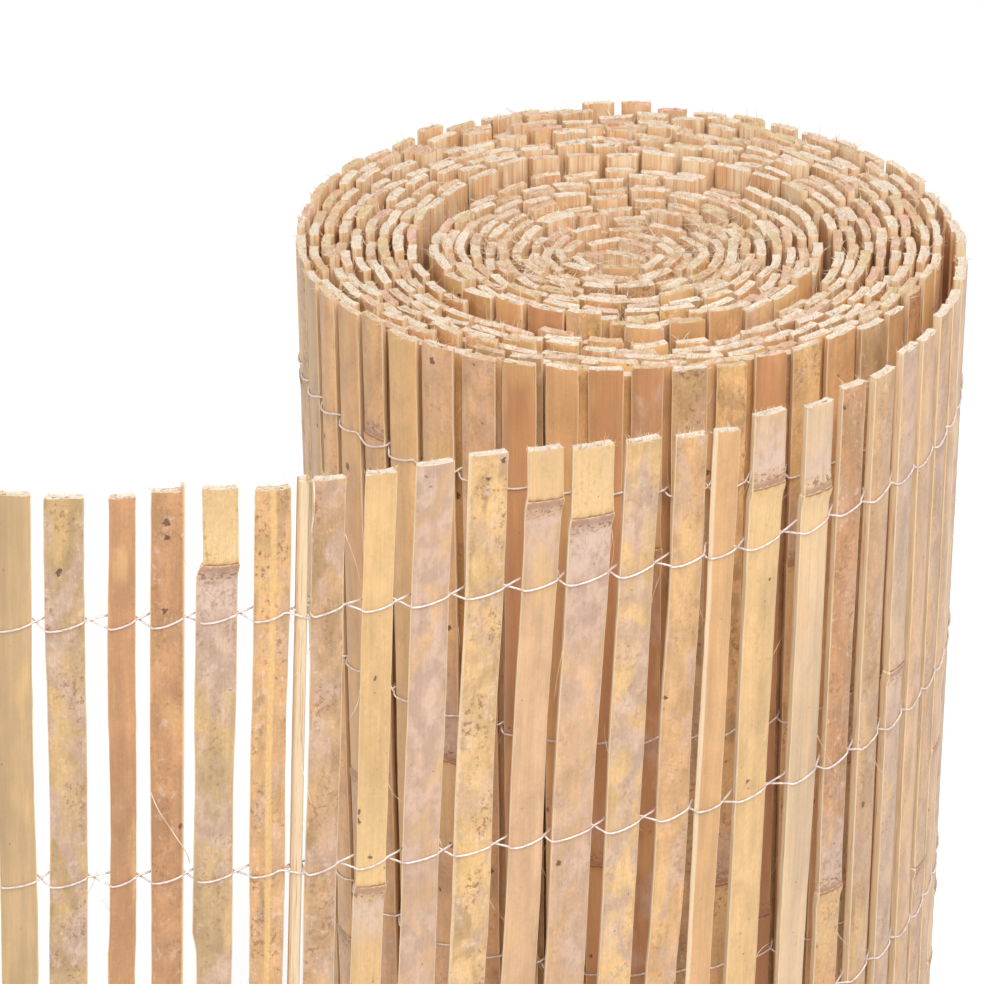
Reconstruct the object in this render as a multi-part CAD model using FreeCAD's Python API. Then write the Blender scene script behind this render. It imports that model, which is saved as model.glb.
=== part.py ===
import FreeCAD, Part
import bisect
import math
import os
import random

# A roll of split bamboo fencing that stands on end, with its outer wrap opened into a loose sheet.
# All sizes are in millimetres. +Z is up and the floor is z = 0.
# The origin is on the roll's axis, at the foot of the slat in the middle of the core.
# The mat is followed from its loose end inwards: "s" is the length along it, 0 where the loose sheet
# leaves the roll, negative in the sheet and positive in the roll.

# Slats
FENCE_HEIGHT = 500.0
SLAT_WIDTH = 13.0
WIDTH_SPREAD = 1.4
SLAT_THICKNESS = 4.7
THICKNESS_SPREAD = 0.2
CROWN = 0.7
BOX_TURNS_FROM = 2

# A culm splits along lines through its middle, so a slat's inner side is narrower at both edges.
# Only the outermost turn and the sheet have this form and the crown: the turns inside are plain.
SPLIT_SLANT = 0.75

# Spacing along the mat, and where the loose sheet's slats begin after it leaves the roll
ROLL_GAP = 2.2
GAP_SPREAD = 0.5
SHEET_GAP = 4.6
SHEET_FROM_ROLL = 31.5

# The roll: its outer radius is at the middle of the slats where the sheet leaves it
ROLL_RADIUS = 124.0
TURN_PLAY = 0.15
SHEET_LEAVES_AT = 18.5

# Where the roll was wound loosely: from the first front inside this radius on, the turns lie further
# in, to the left and to the right
LOOSE_RADIUS = 80.0
LOOSE_GAP = 3.0

# The loose sheet's line in plan: tangent arcs from where it leaves the roll, radius and angle turned
SHEET_ARCS = ((166.0, 87.0), (640.0, 30.0))

# Slats in the loose sheet, from its loose end to the roll: width and the gap after it as shares of a
# plain slat's, twist in degrees, how high its top is as a share of the spread, and how far down the
# fence its culm joint lies as a share of the height
SHEET_TOP_SPREAD = 3.0
SHEET_SLATS = (
    (0.92, 0.87, -2.0, 0.17, 0.160),
    (1.04, 0.83, 0.0, 0.00, 0.500),
    (1.08, 1.48, 1.0, -0.50, 0.660),
    (0.77, 0.91, -1.0, -0.67, 0.360),
    (0.92, 1.04, 2.0, -0.17, 0.580),
    (1.00, 1.00, 0.0, -0.17, 0.058),
    (1.00, 0.35, 1.0, -0.67, 0.450),
    (0.35, 0.09, 0.0, 0.00, 0.480),
    (0.92, 1.22, 0.0, 0.00, 0.480),
    (0.88, 1.15, -1.0, 0.17, 0.324),
    (1.08, 0.97, 1.0, 0.67, 0.530),
    (1.10, 1.29, 0.0, 1.00, 0.770),
    (1.00, 0.62, -1.0, 0.67, 0.034),
    (1.22, 0.76, 2.0, 0.17, 0.052),
    (1.04, 1.15, 0.0, -0.17, 0.600),
    (0.96, 0.51, -2.0, -0.67, 0.410),
    (0.77, 1.07, -16.0, -1.00, 0.700),
    (1.08, 1.89, 1.0, 0.00, 0.056),
    (1.04, 0.85, 0.0, -1.00, 0.074),
    (0.92, 1.15, -6.0, -0.50, 0.418),
    (1.00, 1.00, 1.0, -1.00, 0.560),
    (0.92, 0.78, 0.0, 0.00, 0.260),
    (1.04, 0.74, 1.0, -0.50, 0.680),
    (0.96, 0.70, -1.0, 0.33, 0.470),
    (1.04, 0.65, 0.0, -0.17, 0.380),
    (1.00, 0.61, 1.0, 0.50, 0.600),
    (0.92, 0.61, 0.0, -0.33, 0.550),
    (1.04, 0.57, -1.0, 0.83, 0.440),
    (1.00, 0.57, 0.0, 0.00, 0.640),
)

# The sheet's slats lean towards the roll, less and less from the first slat of this count on
SHEET_LEAN = 2.9
LEAN_EASES_FROM = 13
LEAN_EASES_OVER = 9

# Culm joints: a low ridge across the slat's skin side, and a slight kink
JOINT_RISE = 0.6
JOINT_LENGTH = 5.0
JOINT_KINK = 0.5

# Ends of the slats
TOP_SPREAD = 1.6
FOOT_SPREAD = 2.0
STANDING_SHARE = 0.4
CORE_DIP = 13.0
OUTER_TILT = 4.0
INNER_TILT = 3.0

# Slats that are folded flat into the core: their place in the stack, from the slat on the axis, and
# their length against the fence's height
CORE_SLATS = ((0, -9.0), (-1, -14.0), (1, -11.0))
CORE_PLAY = 0.4
CORE_CLEARANCE = 0.2
CORE_TURNED = 156.0

# The last slats of the mat count with the turn before where they are fewer than this
FEWEST_IN_TURN = 4

# Binding wires: rows of two strands that change sides in each gap
WIRE_ROWS = 5
TOP_ROW_BELOW = 50.0
BOTTOM_ROW_ABOVE = 39.0
WIRE_DIAMETER = 0.8
WIRE_CLEARANCE = 0.25
WIRE_BESIDE_SLAT = 0.15
WIRE_TAIL = 2.5
FRONT_SAG = -1.2
FRONT_RISE = 1.2
BACK_RISE = 0.3
BACK_SAG = -2.5

# Steps along the mat's line, and how close to the very front counts as the front
LINE_STEP = 1.0
AT_FRONT = 0.001
SEED = 7


def turn_pitch(radius):
    """Distance to the next turn outwards, whose inner face clears the corners of the flat slats."""
    face = (SLAT_THICKNESS + THICKNESS_SPREAD) / 2.0
    corner = math.hypot(radius + face, (SLAT_WIDTH + WIDTH_SPREAD) / 2.0)
    return corner - radius + face + TURN_PLAY


def core_radius():
    """Where the roll's line ends, at the middle of slats that clear the corners of the core's stack."""
    stack = 1.5 * SLAT_THICKNESS + CORE_PLAY
    corner = math.hypot(SLAT_WIDTH / 2.0, stack)
    return corner + CORE_CLEARANCE + (SLAT_THICKNESS + THICKNESS_SPREAD) / 2.0


def roll_line():
    """Points down the spiral from where the sheet leaves it: s, x, y, angle, radius, and whether the
    point lies inside the loosely wound turn."""
    line = []
    s = 0.0
    angle = math.radians(SHEET_LEAVES_AT)
    radius = ROLL_RADIUS
    loose = False
    while radius > core_radius():
        at_front = math.sin(angle) < -1.0 + AT_FRONT
        loose = loose or (radius < LOOSE_RADIUS and at_front)
        inwards = LOOSE_GAP * radius / LOOSE_RADIUS * math.cos(angle) ** 2 if loose else 0.0
        drawn = radius - inwards
        line.append((s, drawn * math.cos(angle), drawn * math.sin(angle), angle, radius, loose))
        s += LINE_STEP
        step = LINE_STEP / drawn
        angle += step
        radius -= turn_pitch(radius) * step / (2.0 * math.pi)
    return line


def sheet_line(length):
    """Points along the loose sheet, from its loose end to where it leaves the roll."""
    angle = math.radians(SHEET_LEAVES_AT)
    x = ROLL_RADIUS * math.cos(angle)
    y = ROLL_RADIUS * math.sin(angle)
    heading = angle - math.pi / 2.0
    line = []
    s = 0.0
    for arc_radius, arc_angle in SHEET_ARCS:
        turn = LINE_STEP / arc_radius
        left = math.radians(arc_angle)
        while left > 0.0 and s > -length:
            heading -= turn / 2.0
            x += LINE_STEP * math.cos(heading)
            y += LINE_STEP * math.sin(heading)
            heading -= turn / 2.0
            left -= turn
            s -= LINE_STEP
            line.append((s, x, y, angle, ROLL_RADIUS, False))
    return line[::-1]


class Mat:
    """The mat's line in plan, which gives the place of a slat from its length along the mat."""

    def __init__(self, sheet_length):
        self.line = sheet_line(sheet_length) + roll_line()
        self.lengths = [point[0] for point in self.line]

    def end(self):
        return self.lengths[-1]

    def at(self, s):
        """Plan point, unit vector along the mat, angle, radius and looseness at the length s."""
        index = bisect.bisect_right(self.lengths, s) - 1
        index = min(max(index, 0), len(self.line) - 2)
        here, there = self.line[index], self.line[index + 1]
        share = (s - here[0]) / (there[0] - here[0])
        x = here[1] + share * (there[1] - here[1])
        y = here[2] + share * (there[2] - here[2])
        before = self.line[max(index - 3, 0)]
        after = self.line[min(index + 4, len(self.line) - 1)]
        length = math.hypot(after[1] - before[1], after[2] - before[2])
        along = ((after[1] - before[1]) / length, (after[2] - before[2]) / length)
        return x, y, along, here[3], here[4], here[5]


class Slat:
    """One slat: a flat strip with its skin side outwards, leaning and twisted a little."""

    def __init__(self, x, y, along, width, thickness, foot, top, lean=0.0, twist=0.0, joint=None, gap=None):
        turned = math.radians(twist)
        self.x = x
        self.y = y
        self.along = (
            along[0] * math.cos(turned) - along[1] * math.sin(turned),
            along[0] * math.sin(turned) + along[1] * math.cos(turned),
        )
        self.path = along
        self.width = width
        self.thickness = thickness
        self.foot = foot
        self.top = top
        self.lean = math.tan(math.radians(lean))
        self.joint = joint
        self.gap = gap

    def point(self, u, v, z):
        """Point at u along the mat, v out of the skin side and z up, on the leaning slat."""
        shift = self.lean * (z - top_row_height())
        x = self.x + shift * self.path[0] + u * self.along[0] + v * self.along[1]
        y = self.y + shift * self.path[1] + u * self.along[1] - v * self.along[0]
        return FreeCAD.Vector(x, y, z)

    def section(self, crowned):
        """Corners of the slat's section, as u and v."""
        half = self.width / 2.0
        face = self.thickness / 2.0
        if crowned:
            inner = half - SPLIT_SLANT
            return ((-inner, -face), (inner, -face), (half, face - CROWN), (0.0, face), (-half, face - CROWN))
        return ((-half, -face), (half, -face), (half, face), (-half, face))

    def ridge(self, low, high):
        """How far the culm joint stands out between two heights."""
        if self.joint is None:
            return 0.0
        nearest = min(max(self.joint, low), high)
        return JOINT_RISE * max(0.0, 1.0 - abs(nearest - self.joint) / JOINT_LENGTH)

    def prism(self, corners, low, high):
        """Straight length of the slat between two levels, each with its height, u and v offset."""
        ring = [self.point(u + low[1], v + low[2], low[0]) for u, v in corners]
        first = ring[0]
        last = self.point(corners[0][0] + high[1], corners[0][1] + high[2], high[0])
        face = Part.Face(Part.makePolygon(ring + [first]))
        return face.extrude(last.sub(first))

    def solid(self, crowned):
        corners = self.section(crowned)
        levels = [(self.foot, 0.0, 0.0), (self.top, 0.0, 0.0)]
        if self.joint is not None:
            levels[1:1] = [
                (self.joint - JOINT_LENGTH, 0.0, 0.0),
                (self.joint, JOINT_KINK, JOINT_RISE),
                (self.joint + JOINT_LENGTH, JOINT_KINK, 0.0),
            ]
        lengths = [self.prism(corners, low, high) for low, high in zip(levels, levels[1:])]
        body = lengths[0]
        if len(lengths) > 1:
            body = body.multiFuse(lengths[1:])
        return body.Solids[0]


def top_row_height():
    return FENCE_HEIGHT - TOP_ROW_BELOW


def foot_height(chance):
    """A share of the slats stands on the floor, and the others end a little above it."""
    if chance.random() < STANDING_SHARE:
        return 0.0
    return chance.uniform(0.0, FOOT_SPREAD)


def top_drift(angle, radius, loose):
    """How far the roll's tops lie below the fence's top: the turns sink towards the core, and the
    outer and the inner turns each tilt their own way."""
    depth = 1.0 - radius / ROLL_RADIUS
    if loose:
        return -INNER_TILT * math.sin(angle) - CORE_DIP * depth
    share = min(1.0, depth / (1.0 - LOOSE_RADIUS / ROLL_RADIUS))
    return OUTER_TILT * share * math.sin(angle) - CORE_DIP * depth


def sheet_length():
    widths = [SLAT_WIDTH * width for width, gap, twist, top, joint in SHEET_SLATS]
    gaps = [SHEET_GAP * gap for width, gap, twist, top, joint in SHEET_SLATS]
    return sum(widths) + sum(gaps)


def sheet_slats(mat, start, chance):
    """The loose sheet's slats, from the loose end, and the length where the next slat begins."""
    slats = []
    s = start
    for number, (width_share, gap_share, twist, top_share, joint_share) in enumerate(SHEET_SLATS):
        width = SLAT_WIDTH * width_share
        gap = SHEET_GAP * gap_share
        x, y, along, angle, radius, loose = mat.at(s + width / 2.0)
        ease = 1.0 - min(1.0, max(0.0, (number - LEAN_EASES_FROM) / LEAN_EASES_OVER))
        slats.append(
            Slat(
                x,
                y,
                along,
                width,
                SLAT_THICKNESS,
                foot_height(chance),
                FENCE_HEIGHT + SHEET_TOP_SPREAD * top_share,
                lean=SHEET_LEAN * ease,
                twist=twist,
                joint=FENCE_HEIGHT * (1.0 - joint_share),
                gap=gap,
            )
        )
        s += width + gap
    return slats, s


def roll_turns(mat, start, chance):
    """The roll's slats as one list for each turn, from the outermost turn inwards."""
    turns = []
    s = start
    while True:
        width = SLAT_WIDTH + chance.uniform(-WIDTH_SPREAD, WIDTH_SPREAD)
        if s + width > mat.end():
            break
        x, y, along, angle, radius, loose = mat.at(s + width / 2.0)
        number = int((angle - math.radians(SHEET_LEAVES_AT)) / (2.0 * math.pi))
        if number == len(turns):
            turns.append([])
        thickness = SLAT_THICKNESS + chance.uniform(-THICKNESS_SPREAD, THICKNESS_SPREAD)
        top = FENCE_HEIGHT + top_drift(angle, radius, loose) + chance.uniform(-TOP_SPREAD, TOP_SPREAD)
        turns[number].append(Slat(x, y, along, width, thickness, foot_height(chance), top))
        s += width + ROLL_GAP + chance.uniform(-GAP_SPREAD, GAP_SPREAD)
    if len(turns[-1]) < FEWEST_IN_TURN:
        turns[-2:] = [turns[-2] + turns[-1]]
    return turns


def core_slats():
    """The mat's inner end, folded flat inside the innermost turn."""
    turned = math.radians(CORE_TURNED)
    along = (math.cos(turned), math.sin(turned))
    slats = []
    for place, longer in CORE_SLATS:
        offset = place * (SLAT_THICKNESS + CORE_PLAY)
        x = offset * along[1]
        y = -offset * along[0]
        slats.append(Slat(x, y, along, SLAT_WIDTH, SLAT_THICKNESS, 0.0, FENCE_HEIGHT + longer))
    return slats


def wire_pockets(slats):
    """The slats in groups, one to a pocket between the strands. Two slats share a pocket where the
    gap between them has no room for both strands."""
    pockets = []
    shared = False
    for slat in slats:
        if shared:
            pockets[-1].append(slat)
        else:
            pockets.append([slat])
        shared = slat.gap < 2.0 * WIRE_DIAMETER + 2.0 * WIRE_BESIDE_SLAT
    return pockets


def strand_points(slats, height, in_front):
    """Points of one strand along a row: across the front of a pocket, then behind the next one."""
    points = []
    beside = JOINT_KINK + WIRE_BESIDE_SLAT
    for pocket in wire_pockets(slats):
        first, last = pocket[0], pocket[-1]
        out = max(slat.thickness for slat in pocket) / 2.0 + WIRE_CLEARANCE + WIRE_DIAMETER / 2.0
        if in_front:
            low, high = height + FRONT_SAG, height + FRONT_RISE
            out += max(slat.ridge(low - WIRE_DIAMETER, high + WIRE_DIAMETER) for slat in pocket)
        else:
            low, high = height + BACK_RISE, height + BACK_SAG
            out = -out
        points.append(first.point(-first.width / 2.0 - beside, out, low))
        points.append(last.point(last.width / 2.0 + beside, out, high))
        in_front = not in_front
    return points


def unit(vector):
    return FreeCAD.Vector(vector).normalize()


def wire_solid(points):
    """Three-sided wire along a path of straight lengths, mitred where they meet."""
    points = [points[0] - unit(points[1] - points[0]) * WIRE_TAIL] + points
    points = points + [points[-1] + unit(points[-1] - points[-2]) * WIRE_TAIL]
    runs = [unit(there - here) for here, there in zip(points, points[1:])]
    side = unit(runs[0].cross(FreeCAD.Vector(0.0, 0.0, 1.0)))
    over = side.cross(runs[0])
    ring = []
    for corner in range(3):
        angle = 2.0 * math.pi * corner / 3.0
        reach = side * math.cos(angle) + over * math.sin(angle)
        ring.append(points[0] + reach * (WIRE_DIAMETER / 2.0))
    rings = [ring]
    for index in range(1, len(points)):
        run = runs[index - 1]
        after = runs[min(index, len(runs) - 1)]
        normal = run + after
        ring = [corner + run * ((points[index] - corner).dot(normal) / run.dot(normal)) for corner in ring]
        rings.append(ring)
    faces = [polygon_face(rings[0]), polygon_face(rings[-1])]
    for low, high in zip(rings, rings[1:]):
        for corner in range(3):
            other = (corner + 1) % 3
            faces.append(polygon_face([low[corner], low[other], high[other], high[corner]]))
    solid = Part.Solid(Part.Shell(faces))
    if solid.Volume < 0.0:
        solid.reverse()
    return solid


def polygon_face(corners):
    return Part.Face(Part.makePolygon(corners + corners[:1]))


def save(name, solids):
    shape = solids[0] if len(solids) == 1 else Part.makeCompound(solids)
    shape.exportStep(os.path.join("parts", name + ".step"))


def main():
    os.makedirs("parts", exist_ok=True)
    chance = random.Random(SEED)
    length = sheet_length() + SHEET_FROM_ROLL
    mat = Mat(length)
    sheet, s = sheet_slats(mat, -length, chance)
    turns = roll_turns(mat, s, chance)
    for number, slat in enumerate(sheet, 1):
        save("sheet_slat_%02d" % number, [slat.solid(crowned=True)])
    for number, turn in enumerate(turns, 1):
        crowned = number < BOX_TURNS_FROM
        save("turn_%02d" % number, [slat.solid(crowned) for slat in turn])
    save("core_slats", [slat.solid(crowned=False) for slat in core_slats()])
    spacing = (top_row_height() - BOTTOM_ROW_ABOVE) / (WIRE_ROWS - 1)
    for row in range(WIRE_ROWS):
        height = top_row_height() - row * spacing
        strands = [wire_solid(strand_points(sheet, height, in_front)) for in_front in (True, False)]
        save("wire_row_%d" % (row + 1), strands)
    total = len(sheet) + sum(len(turn) for turn in turns) + len(CORE_SLATS)
    print("slats", total, "turns", len(turns), "mat length", round(length + mat.end()), "mm")


main()
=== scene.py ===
import math
import random

import bmesh
import bpy
import numpy as np
from mathutils import Matrix, Vector


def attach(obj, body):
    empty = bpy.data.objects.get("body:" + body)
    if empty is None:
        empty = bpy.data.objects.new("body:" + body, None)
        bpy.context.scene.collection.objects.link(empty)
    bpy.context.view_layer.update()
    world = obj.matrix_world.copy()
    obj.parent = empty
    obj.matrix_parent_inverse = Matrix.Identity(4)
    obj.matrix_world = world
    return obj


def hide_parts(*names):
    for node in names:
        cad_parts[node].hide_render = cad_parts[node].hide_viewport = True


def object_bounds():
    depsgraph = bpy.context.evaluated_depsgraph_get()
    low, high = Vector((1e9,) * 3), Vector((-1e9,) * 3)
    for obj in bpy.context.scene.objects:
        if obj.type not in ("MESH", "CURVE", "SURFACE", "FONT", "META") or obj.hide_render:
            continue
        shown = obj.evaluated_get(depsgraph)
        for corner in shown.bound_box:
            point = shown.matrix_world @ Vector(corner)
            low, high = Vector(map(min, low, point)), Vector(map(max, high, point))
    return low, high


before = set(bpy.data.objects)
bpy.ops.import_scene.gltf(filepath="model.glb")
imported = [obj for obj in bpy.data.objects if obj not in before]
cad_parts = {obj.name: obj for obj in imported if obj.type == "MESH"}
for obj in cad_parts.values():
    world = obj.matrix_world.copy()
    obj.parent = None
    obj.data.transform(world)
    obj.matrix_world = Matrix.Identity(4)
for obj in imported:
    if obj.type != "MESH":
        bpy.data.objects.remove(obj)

# A roll of split bamboo fencing on end, with its outer wrap opened into a loose sheet.
# Lengths are in millimetres here and become metres where a mesh is made.
MM = 0.001
CAD_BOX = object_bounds()
BODY = "root"
SEED = 11

# The camera, from a pinhole model fitted to the photograph
IMAGE_SIZE = 984.0
FOCAL_PIXELS = 3915.0
SENSOR = 36.0
CAMERA_AT = (-50.0, -1357.0, 1100.0)
CAMERA_DOWN = 27.7
CAMERA_ROLL = -0.51

# Wires: heights of the rows, and how far the strands stand over or under them at a slat's edges. Both
# strands come close at a slat's right edge and part again before the next slat.
WIRE_HEIGHTS = (450.0, 347.25, 244.5, 141.75, 39.0)
WIRE_RADIUS = 0.4
WIRE_SIDES = 7
FRONT_SAG = -1.2
FRONT_RISE = 1.2
BACK_RISE = 2.0
BACK_SAG = 0.6

# Slats: the crown of the skin side, how much narrower the inner side is at each edge, the depth that
# the outermost turn leaves for its wires, and how far from a joint its marks can reach
CROWN = 0.7
SPLIT_SLANT = 0.75
WIRE_ROOM = 0.65
FAR = 90.0


def camera():
    down = math.radians(CAMERA_DOWN)
    roll = math.radians(CAMERA_ROLL)
    right = Vector((1.0, 0.0, 0.0))
    forward = Vector((0.0, math.cos(down), -math.sin(down)))
    up = right.cross(forward)
    right, up = right * math.cos(roll) + up * math.sin(roll), up * math.cos(roll) - right * math.sin(roll)
    turn = Matrix((right, up, -forward)).transposed().to_4x4()
    data = bpy.data.cameras.new("photo_camera")
    data.sensor_width = SENSOR
    data.lens = FOCAL_PIXELS / IMAGE_SIZE * SENSOR
    data.clip_end = 20.0
    ob = bpy.data.objects.new("photo_camera", data)
    ob.matrix_world = Matrix.Translation(Vector(CAMERA_AT) * MM) @ turn
    bpy.context.scene.collection.objects.link(ob)
    bpy.context.scene.camera = ob


class Shader:
    """Short calls for the nodes of one material."""

    def __init__(self, name):
        self.material = bpy.data.materials.new(name)
        self.material.use_nodes = True
        self.tree = self.material.node_tree
        self.tree.nodes.clear()

    def node(self, kind, values=(), **settings):
        made = self.tree.nodes.new(kind)
        for key, value in settings.items():
            setattr(made, key, value)
        for key, value in dict(values).items():
            self.put(made.inputs[key], value)
        return made

    def put(self, socket, value):
        if hasattr(value, "is_linked"):
            self.tree.links.new(value, socket)
        else:
            socket.default_value = value

    def attribute(self, name, output="Fac"):
        return self.node("ShaderNodeAttribute", attribute_name=name).outputs[output]

    def parts(self, vector):
        return self.node("ShaderNodeSeparateXYZ", {0: vector}).outputs

    def math(self, operation, a, b=0.0, c=0.0):
        return self.node("ShaderNodeMath", {0: a, 1: b, 2: c}, operation=operation).outputs[0]

    def times(self, *values):
        made = values[0]
        for value in values[1:]:
            made = self.math("MULTIPLY", made, value)
        return made

    def noise(self, vector, scale, detail=2.0, roughness=0.5, distortion=0.0):
        scaled = self.node("ShaderNodeVectorMath", {0: vector, 1: scale}, operation="MULTIPLY").outputs[0]
        values = {"Vector": scaled, "Scale": 1.0, "Detail": detail}
        values.update({"Roughness": roughness, "Distortion": distortion})
        return self.node("ShaderNodeTexNoise", values).outputs["Fac"]

    def spots(self, vector, scale, size, share, soft):
        """Round spots in a share of the cells of a random grid, each of its own size."""
        rim = self.node("ShaderNodeTexNoise", {"Vector": vector, "Scale": 0.9, "Detail": 1.0})
        bent = self.node("ShaderNodeVectorMath", {0: rim.outputs["Color"], 1: (2.2, 2.2, 0.0), 2: vector})
        bent.operation = "MULTIPLY_ADD"
        scaled = self.node("ShaderNodeVectorMath", {0: bent.outputs[0], 1: scale}, operation="MULTIPLY").outputs[0]
        cells = self.node("ShaderNodeTexVoronoi", {"Vector": scaled, "Scale": 1.0, "Randomness": 1.0})
        chosen = self.parts(cells.outputs["Color"])[0]
        reach = self.span(chosen, self.math("SUBTRACT", 1.0, share), 1.0, -soft, size)
        inside = self.math("SUBTRACT", reach, cells.outputs["Distance"])
        return self.span(inside, 0.0, soft)

    def span(self, value, low, high, to_low=0.0, to_high=1.0):
        """Maps a value smoothly from one range to another and holds it at the ends."""
        values = {"Value": value, "From Min": low, "From Max": high, "To Min": to_low, "To Max": to_high}
        return self.node("ShaderNodeMapRange", values, interpolation_type="SMOOTHSTEP").outputs[0]

    def mix(self, factor, a, b, blend="MIX"):
        made = self.node("ShaderNodeMix", {"Factor": factor}, data_type="RGBA", blend_type=blend)
        self.put(made.inputs[6], a)
        self.put(made.inputs[7], b)
        return made.outputs[2]

    def shade(self, colour, value, low, high):
        """Darkens and lightens a colour by a value from 0.25 to 0.75."""
        return self.mix(1.0, colour, self.span(value, 0.25, 0.75, low, high), "MULTIPLY")

    def surface(self, colour, roughness, bump=None, bump_depth=0.1, **shine):
        values = {"Base Color": colour, "Roughness": roughness}
        values.update({key.replace("_", " "): value for key, value in shine.items()})
        if bump is not None:
            bumped = self.node("ShaderNodeBump", {"Height": bump, "Distance": bump_depth * MM, "Strength": 1.0})
            values["Normal"] = bumped.outputs[0]
        shader = self.node("ShaderNodeBsdfPrincipled", values)
        self.node("ShaderNodeOutputMaterial", {"Surface": shader.outputs[0]})
        return self.material


def colour(red, green, blue):
    """Linear colour from the 0 to 255 values of a screen colour."""
    linear = []
    for value in (red, green, blue):
        share = value / 255.0
        linear.append(share / 12.92 if share <= 0.04045 else ((share + 0.055) / 1.055) ** 2.4)
    return (*linear, 1.0)


# Bamboo skins
SKINS = {
    "olive": colour(208, 173, 128),
    "tan": colour(214, 171, 128),
    "orange": colour(211, 156, 110),
    "amber": colour(229, 180, 128),
    "straw": colour(238, 195, 138),
    "peach": colour(228, 184, 142),
    "pale": colour(232, 198, 160),
    "mauve": colour(216, 182, 154),
    "cream": colour(246, 226, 188),
}
BLOOM = colour(228, 194, 172)
BLOOM_GREY = colour(200, 166, 146)
STAIN = colour(172, 138, 96)
FLECK = colour(158, 108, 68)
FLAKE = colour(242, 216, 198)
BLOB = colour(94, 60, 40)
SMUDGE = colour(150, 108, 82)
JOINT_LINE = colour(132, 92, 62)
JOINT_BAND = colour(178, 136, 112)
JOINT_SHADE = colour(196, 140, 84)
JOINT_WHITE = colour(230, 202, 184)
JOINT_YELLOW = colour(244, 205, 146)
STRIPE = colour(244, 200, 132)
CREAM = colour(252, 238, 216)
EDGE = colour(250, 222, 182)
SPLIT = colour(236, 196, 150)
SPLIT_BROWN = colour(196, 140, 94)
INNER_TAN = colour(240, 194, 146)
INNER_PALE = colour(250, 222, 184)
END_TAN = colour(236, 202, 170)
END_CREAM = colour(252, 236, 214)
END_DARK = colour(190, 134, 92)
END_PINK = colour(240, 192, 170)
END_GREEN = colour(230, 210, 156)
HAIR_GOLD = colour(226, 180, 124)
WIRE_LIGHT = colour(244, 230, 222)
WIRE_DULL = colour(206, 192, 186)

# Looks of the sheet's slats, from the loose end to the roll: skin, then bloom, flecks, blobs and the
# marks at a joint, each from 0 to 1
SHEET_LOOKS = (
    ("tan", 0.3, 0.3, 0.2, 0.3),
    ("olive", 0.0, 0.0, 0.0, 0.0),
    ("olive", 0.55, 0.8, 0.35, 0.0),
    ("orange", 0.0, 0.25, 1.0, 0.0),
    ("orange", 0.1, 0.6, 1.0, 0.0),
    ("olive", 0.4, 0.6, 0.3, 1.0),
    ("amber", 0.25, 1.0, 0.3, 0.0),
    ("cream", 0.0, 0.0, 0.0, 0.0),
    ("tan", 0.35, 0.9, 0.3, 0.0),
    ("straw", 0.0, 0.15, 1.0, 0.8),
    ("peach", 0.7, 0.2, 0.1, 0.0),
    ("straw", 0.3, 1.0, 0.3, 0.0),
    ("peach", 0.0, 0.15, 0.1, 0.6),
    ("peach", 0.38, 0.3, 0.1, 0.9),
    ("straw", 0.5, 0.4, 0.1, 0.0),
    ("amber", 0.35, 0.5, 0.4, 0.0),
    ("amber", 0.0, 0.1, 0.1, 0.0),
    ("straw", 0.1, 0.2, 0.1, 0.8),
    ("pale", 0.0, 0.05, 0.0, 0.6),
    ("orange", 0.2, 0.8, 0.5, 0.6),
    ("tan", 0.3, 0.5, 0.1, 0.1),
    ("mauve", 0.4, 0.4, 0.1, 0.2),
    ("peach", 0.3, 0.3, 0.2, 0.0),
    ("tan", 0.4, 0.5, 0.1, 0.2),
    ("peach", 0.2, 0.4, 0.0, 0.0),
    ("pale", 0.5, 0.2, 0.2, 0.3),
    ("tan", 0.3, 0.4, 0.0, 0.0),
    ("straw", 0.2, 0.2, 0.1, 0.2),
    ("peach", 0.5, 0.3, 0.1, 0.0),
)

# Single features of the sheet's slats, by their number: bands along a slat (strength, centre and half
# width as shares of the half width), slats put in upside down, slats with no joint in the photograph, a
# slat that steps out to the left under its joint, one that reaches further to the right, frayed tops,
# and the slats with a loose sliver and a torn loop
BANDS = {7: (0.8, 0.03, 0.17), 12: (0.6, -0.95, 0.08), 17: (1.0, -0.86, 0.20)}
NO_BAND = (0.0, 0.0, 0.0)
UPSIDE_DOWN = (18, 19, 20)
PLAIN_WHERE_SEEN = (4, 16)
STEPPED = {6: 1.5}
WIDENED = {8: 2.2}
FRAYED = {13: 14, 14: 26, 15: 44, 16: 44, 17: 34, 18: 18}
SLIVERED = 5
LOOPED = 8
ROLL_SKINS = ("tan", "orange", "amber", "amber", "amber", "peach", "straw", "straw", "straw", "olive")
LOWEST_SEEN = 290.0

# The turns inside this radius are jumbled, with loose fibres over them
FUZZY_RADIUS = 52.0
MOST_SHORTENED = 3.5


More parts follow.
